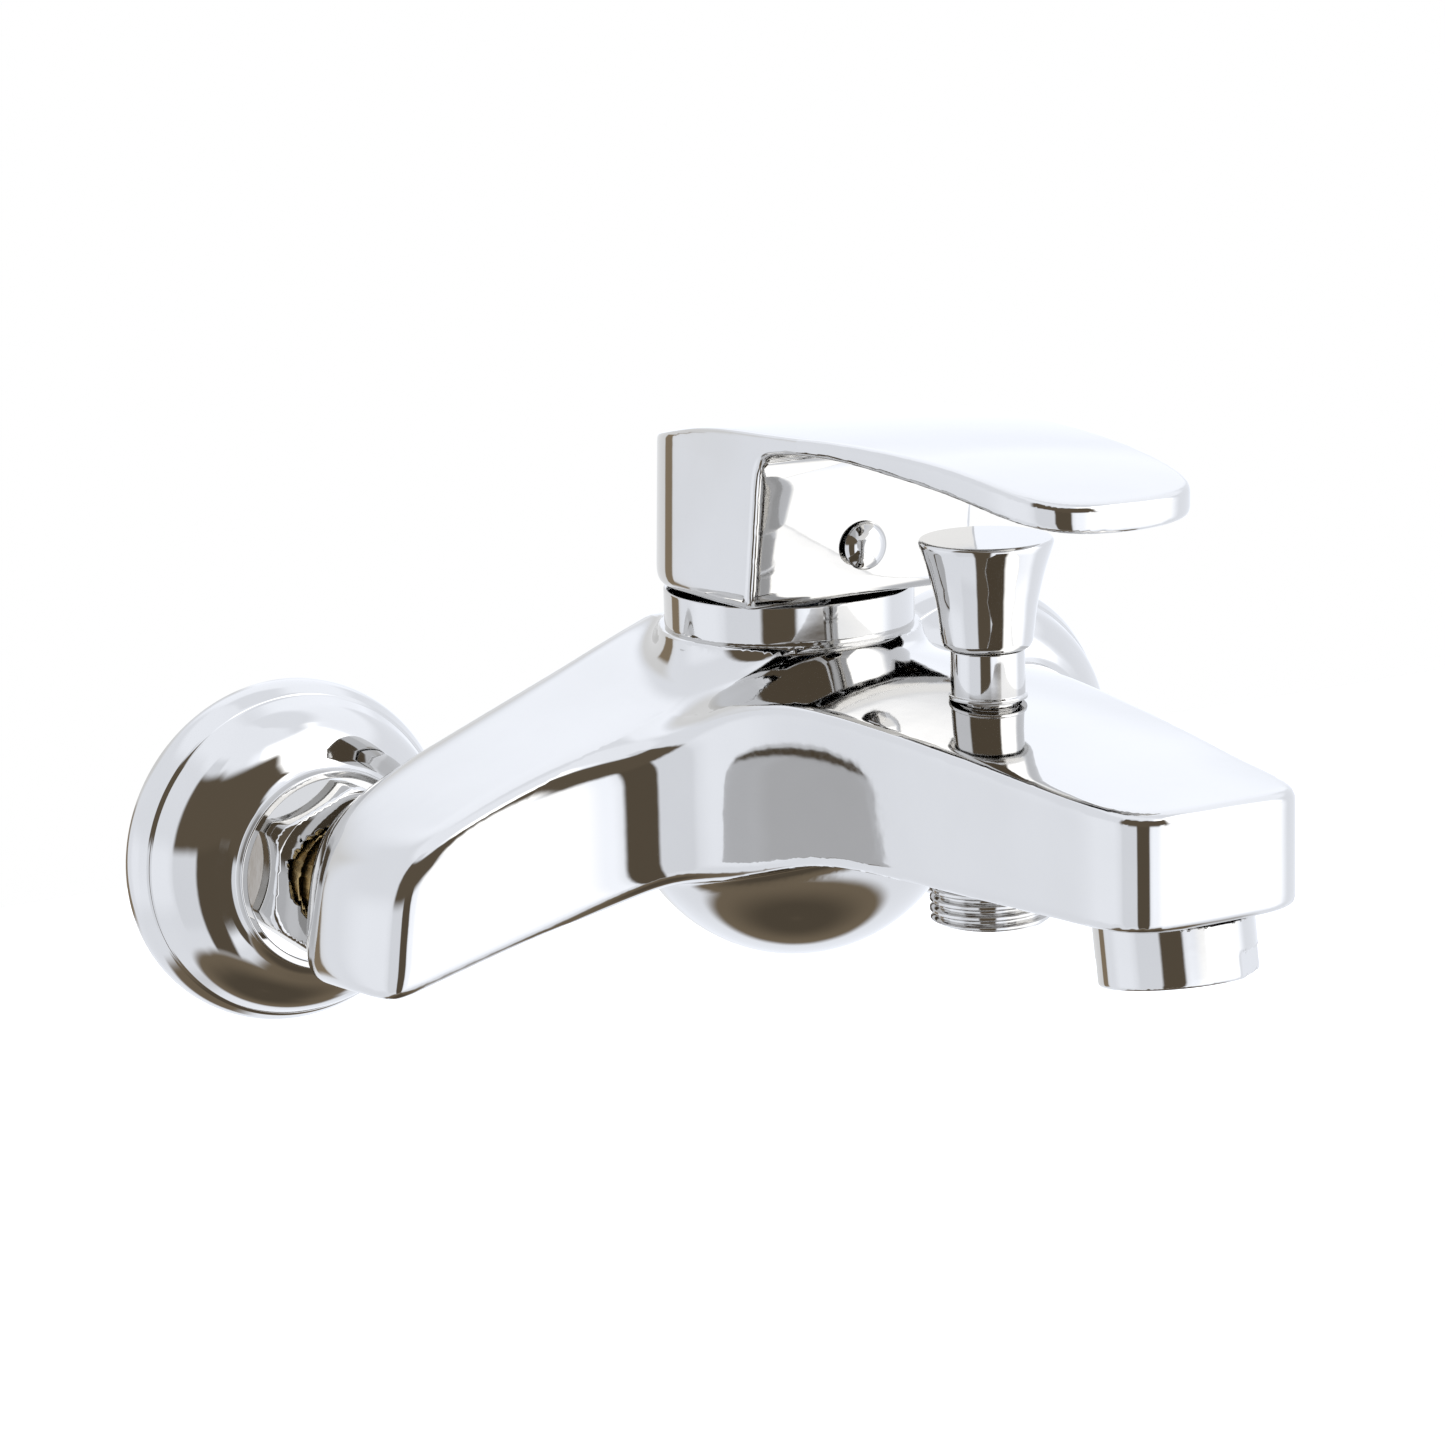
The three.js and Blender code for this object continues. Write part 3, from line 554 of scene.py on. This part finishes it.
def aerator_shell():
    cos, sin = math.cos(AERATOR_TILT), math.sin(AERATOR_TILT)

    def field(x, y, z):
        up = (z - AERATOR_TOP_Z) * cos + (y - AERATOR_Y) * sin
        along = (y - AERATOR_Y) * cos - (z - AERATOR_TOP_Z) * sin
        radius = np.hypot(x, along)
        cover_z = SPOUT_BOTTOM(-y) - 0.35
        skirt = smooth_max(radius - 13.1, -11.2 - up, 1.1)
        skirt = np.maximum(skirt, z - cover_z)
        facing = x * math.sin(FLAT_TURN) - along * math.cos(FLAT_TURN)
        flat = smooth_max(12 - np.abs(facing), up + 6.9, 0.4)
        skirt = smooth_max(skirt, -flat, 0.3)
        neck = np.maximum(np.maximum(radius - 10.6, up - 8), -8 - up)
        return np.maximum(np.minimum(skirt, neck), 9 - radius)

    return surface_net("aerator_shell", field, AERATOR_LOW, AERATOR_HIGH, 0.5)


# ---- Materials ----
def new_material(name):
    material = bpy.data.materials.new(name)
    material.use_nodes = True
    nodes = material.node_tree.nodes
    return material, nodes, material.node_tree.links, nodes["Principled BSDF"]


def noise_ramp(nodes, links, scale, stops, detail=4.0, stretch=(1, 1, 1)):
    """Noise over the object's own coordinates through a colour ramp of (position, colour)."""
    place = nodes.new("ShaderNodeTexCoord")
    mapping = nodes.new("ShaderNodeMapping")
    mapping.inputs["Scale"].default_value = stretch
    noise = nodes.new("ShaderNodeTexNoise")
    noise.inputs["Scale"].default_value = scale
    noise.inputs["Detail"].default_value = detail
    steps = nodes.new("ShaderNodeValToRGB")
    for k, (at, colour) in enumerate(stops):
        if k > 1:
            steps.color_ramp.elements.new(at)
        steps.color_ramp.elements[k].position = at
        steps.color_ramp.elements[k].color = (*colour, 1)
    links.new(place.outputs["Object"], mapping.inputs["Vector"])
    links.new(mapping.outputs["Vector"], noise.inputs["Vector"])
    links.new(noise.outputs["Fac"], steps.inputs["Fac"])
    return noise, steps


def add_bump(nodes, links, shader, height, strength, distance):
    bump = nodes.new("ShaderNodeBump")
    bump.inputs["Strength"].default_value = strength
    bump.inputs["Distance"].default_value = distance
    links.new(height, bump.inputs["Height"])
    links.new(bump.outputs["Normal"], shader.inputs["Normal"])


def grey(value):
    return (value, value, value)


def metal(name, light, dark, rough, grain, wave, stretch=(1, 1, 1)):
    """A metal whose colour and gloss wander a little; grain and wave are noise scales per metre."""
    material, nodes, links, shader = new_material(name)
    shader.inputs["Metallic"].default_value = 1.0
    _, tint = noise_ramp(nodes, links, 60, [(0.35, dark), (0.65, light)])
    links.new(tint.outputs["Color"], shader.inputs["Base Color"])
    _, gloss = noise_ramp(nodes, links, grain, [(0.3, grey(rough[0])), (0.75, grey(rough[1]))], 6, stretch)
    links.new(gloss.outputs["Color"], shader.inputs["Roughness"])
    ripple, _ = noise_ramp(nodes, links, wave[0], [(0, grey(0)), (1, grey(1))], 2, stretch)
    add_bump(nodes, links, shader, ripple.outputs["Fac"], wave[1], wave[2])
    return material


def plain(name, light, dark, rough, scale, bump):
    """A moulded or ceramic material with faint mottling and fine surface grain."""
    material, nodes, links, shader = new_material(name)
    _, tint = noise_ramp(nodes, links, scale / 6, [(0.3, dark), (0.7, light)])
    links.new(tint.outputs["Color"], shader.inputs["Base Color"])
    grain, gloss = noise_ramp(nodes, links, scale, [(0.3, grey(rough[0])), (0.7, grey(rough[1]))])
    links.new(gloss.outputs["Color"], shader.inputs["Roughness"])
    add_bump(nodes, links, shader, grain.outputs["Fac"], bump, 0.0001)
    return material


CHROME = (0.64, 0.632, 0.618)
CHROME_DIM = (0.626, 0.618, 0.604)
MATERIALS = {
    "chrome_body": metal("chrome_body", CHROME, CHROME_DIM, (0.03, 0.06), 900, (140, 0.05, 0.0004)),
    "chrome_handle": metal("chrome_handle", CHROME, CHROME_DIM, (0.025, 0.05), 900, (120, 0.04, 0.0004)),
    "chrome_trim": metal("chrome_trim", CHROME, CHROME_DIM, (0.03, 0.07), 1200, (400, 0.04, 0.0001)),
    "chrome_pressed": metal("chrome_pressed", CHROME, CHROME_DIM, (0.03, 0.06), 1000, (160, 0.06, 0.0003)),
    "brass": metal(
        "brass", (0.80, 0.61, 0.30), (0.68, 0.49, 0.22),
        (0.22, 0.42), 1500, (2500, 0.3, 0.00004), (1, 1, 8),
    ),
    "steel": metal(
        "steel", (0.66, 0.67, 0.69), (0.54, 0.55, 0.57),
        (0.18, 0.36), 2500, (3000, 0.3, 0.00003), (1, 1, 6),
    ),
    "rubber": plain("rubber", (0.028, 0.028, 0.03), (0.015, 0.015, 0.017), (0.62, 0.85), 1800, 0.4),
    "white_plastic": plain("white_plastic", (0.82, 0.82, 0.80), (0.76, 0.76, 0.74), (0.28, 0.42), 1400, 0.15),
    "blue_plastic": plain("blue_plastic", (0.08, 0.18, 0.46), (0.06, 0.14, 0.38), (0.25, 0.4), 1400, 0.15),
    "ceramic": plain("ceramic", (0.88, 0.87, 0.84), (0.83, 0.82, 0.79), (0.12, 0.22), 2600, 0.08),
}


def dress(obj, slot):
    obj.data.materials.clear()
    obj.data.materials.append(MATERIALS[slot])


def add_piece(obj, slot, body, *nodes):
    dress(obj, slot)
    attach(obj, body)
    if nodes:
        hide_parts(*nodes)


# ---- The object ----
for part in frame["record"]["subparts"]:
    node = frame["nodes"][part["node"]]
    for spot in node.material_slots:
        spot.material = MATERIALS[part["material_slot"]]

casting, lever_handle = build_castings()
add_piece(casting, "chrome_body", "mixer_body", "body")
add_piece(lever_handle, "chrome_handle", "lever", "handle")
add_piece(trim_ring(), "chrome_trim", "mixer_body", "cap_ring")
add_piece(knob(), "chrome_trim", "diverter", "diverter_knob")
add_piece(sleeve(), "chrome_trim", "mixer_body", "diverter_sleeve")
add_piece(screw_plug(), "chrome_trim", "lever", "screw_cap")
add_piece(hose_nipple(), "chrome_trim", "mixer_body", "shower_outlet")
add_piece(aerator_shell(), "chrome_trim", "mixer_body", "aerator_housing")
for side, label in ((-1, "left"), (1, "right")):
    collar, stub = wall_stub(side, label)
    add_piece(collar, "chrome_trim", "mixer_body", f"wall_connector_{label}")
    add_piece(stub, "chrome_trim", "mixer_body")
    add_piece(cover(label, side), "chrome_pressed", f"cover_{label}", f"escutcheon_{label}")
    add_piece(nut(label, side), "chrome_trim", f"nut_{label}", f"union_nut_{label}")


# ---- Camera ----
def place_camera():
    azimuth, elevation, roll = map(math.radians, (-30.3, 12.7, -1.6))
    back = Vector((
        math.sin(azimuth) * math.cos(elevation),
        -math.cos(azimuth) * math.cos(elevation),
        math.sin(elevation),
    ))
    right = (-back).cross(Vector((0, 0, 1))).normalized()
    up = back.cross(right)
    turned_right = math.cos(roll) * right + math.sin(roll) * up
    turned_up = math.cos(roll) * up - math.sin(roll) * right
    camera = bpy.data.objects.new("camera", bpy.data.cameras.new("camera"))
    bpy.context.scene.collection.objects.link(camera)
    rotation = Matrix((turned_right, turned_up, back)).transposed()
    camera.matrix_world = Matrix.Translation((-0.4123, -0.7386, 0.2036)) @ rotation.to_4x4()
    camera.data.sensor_width = 36
    camera.data.lens = 112.1
    camera.data.clip_start = 0.05
    bpy.context.scene.camera = camera


place_camera()


# ---- Studio: light panels painted on the sky round the part, and a pale floor ----
COOL = (0.962, 0.974, 1.0)
NEUTRAL = (1.0, 1.0, 1.0)
BROWN = (1.0, 0.89, 0.74)
BASE_LEVEL = 224
SECOND_FLAG = 0.15
FLOOR_DROP = 1.1
# Each panel: compass angle and half width (0 towards -Y, 90 towards +X), edge softness,
# lowest and highest elevation, their softness (all degrees), displayed level, tint.
PANELS = {
    "ceiling": (0, 180, 0, 50, 95, 12, 238, COOL),
    "right_wall": (112, 76, 20, -52, 95, 8, 226, COOL),
    "right_upper": (112, 76, 20, 32, 62, 10, 246, COOL),
    "key_softbox": (24, 47, 16, -44, 60, 10, 254, COOL),
    "key_core": (30, 34, 14, -34, 6, 14, 262, NEUTRAL),
    "key_top": (28, 36, 14, 10, 62, 10, 320, NEUTRAL),
    "left_wall": (-75, 17, 6, -40, 60, 8, 216, COOL),
    "left_softbox": (-114, 17, 18, -28, 4, 14, 236, COOL),
    "back_wall": (180, 28, 12, -26, 26, 12, 200, NEUTRAL),
    "window": (147, 11, 8, -6, 15, 8, 234, COOL),
    "window_top": (147, 16, 8, 15, 60, 8, 247, COOL),
    "low_flag": (-41, 16, 5, -54, 20, 6, 80, BROWN),
    "high_flag": (-43, 50, 8, 3, 48, 8, 86, BROWN),
    "door_edge": (-160.5, 7.5, 3, -26, 6, 8, 122, BROWN),
    "ground": (0, 180, 0, -95, -54, 8, 104, BROWN),
    "underneath": (0, 180, 0, -95, -68, 20, 74, BROWN),
}


def level_colour(level, tint):
    """Linear light that chrome shows at a display level of 0 to 255."""
    shown = [level / 255 * t for t in tint]
    return [((c + 0.055) / 1.055) ** 2.4 / mirror for c, mirror in zip(shown, CHROME)]


def make_world():
    world = bpy.data.worlds.new("studio")
    bpy.context.scene.world = world
    world.use_nodes = True
    nodes, links = world.node_tree.nodes, world.node_tree.links

    def math_node(operation, *values):
        node = nodes.new("ShaderNodeMath")
        node.operation = operation
        for socket, value in zip(node.inputs, values):
            if isinstance(value, (int, float)):
                socket.default_value = value
            else:
                links.new(value, socket)
        return node.outputs[0]

    def edge(value, start, end):
        node = nodes.new("ShaderNodeMapRange")
        node.interpolation_type = "SMOOTHSTEP"
        node.inputs["From Min"].default_value = start
        node.inputs["From Max"].default_value = end
        links.new(value, node.inputs["Value"])
        return node.outputs["Result"]

    def mix(share, under, over):
        node = nodes.new("ShaderNodeMix")
        node.data_type = "RGBA"
        links.new(share, node.inputs["Factor"])
        colours = [socket for socket in node.inputs if socket.type == "RGBA"]
        links.new(under, colours[0])
        colours[1].default_value = (*over, 1)
        return [socket for socket in node.outputs if socket.type == "RGBA"][0]

    direction = nodes.new("ShaderNodeSeparateXYZ")
    links.new(nodes.new("ShaderNodeTexCoord").outputs["Generated"], direction.inputs[0])
    x, y, z = direction.outputs
    compass = math_node("DEGREES", math_node("ARCTAN2", x, math_node("MULTIPLY", y, -1.0)))
    elevation = math_node("DEGREES", math_node("ARCSINE", z))
    start = nodes.new("ShaderNodeRGB")
    start.outputs[0].default_value = (*level_colour(BASE_LEVEL, COOL), 1)
    light = start.outputs[0]
    path = nodes.new("ShaderNodeLightPath")
    # The front flag nearly vanishes in second reflections, so the spout's side isn't darkened twice.
    first_bounce = math_node("LESS_THAN", path.outputs["Ray Depth"], 2.5)
    flag_strength = math_node("MAXIMUM", first_bounce, SECOND_FLAG)
    for name, (angle, half, soft, lowest, highest, ends, level, tint) in PANELS.items():
        share = math_node(
            "MULTIPLY",
            edge(elevation, lowest - ends / 2, lowest + ends / 2),
            edge(elevation, highest + ends / 2, highest - ends / 2),
        )
        if half < 180:
            away = math_node("WRAP", math_node("SUBTRACT", compass, angle), 180.0, -180.0)
            across = edge(math_node("ABSOLUTE", away), half + soft / 2, half - soft / 2)
            share = math_node("MULTIPLY", share, across)
        if name == "low_flag":
            share = math_node("MULTIPLY", share, flag_strength)
        light = mix(share, light, level_colour(level, tint))
    seen = mix(path.outputs["Is Camera Ray"], light, (1, 1, 1))
    links.new(seen, nodes["Background"].inputs["Color"])


def make_floor():
    """A pale floor a metre below the mixer; the chrome mirrors the darker ground of the studio."""
    half, height = 4, BODY_LOW[2] * MM - FLOOR_DROP
    mesh = bpy.data.meshes.new("floor")
    mesh.from_pydata(
        [(-half, -half, height), (half, -half, height), (half, half, height), (-half, half, height)],
        [], [(0, 1, 2, 3)],
    )
    floor = bpy.data.objects.new("floor", mesh)
    bpy.context.scene.collection.objects.link(floor)
    material, _, _, shader = new_material("pale_floor")
    shader.inputs["Base Color"].default_value = (0.9, 0.9, 0.9, 1)
    shader.inputs["Roughness"].default_value = 0.9
    shader.inputs["Emission Color"].default_value = (1, 1, 1, 1)
    shader.inputs["Emission Strength"].default_value = 0.3
    mesh.materials.append(material)
    floor.visible_glossy = False


make_world()
make_floor()
bpy.context.scene.view_settings.view_transform = "Standard"
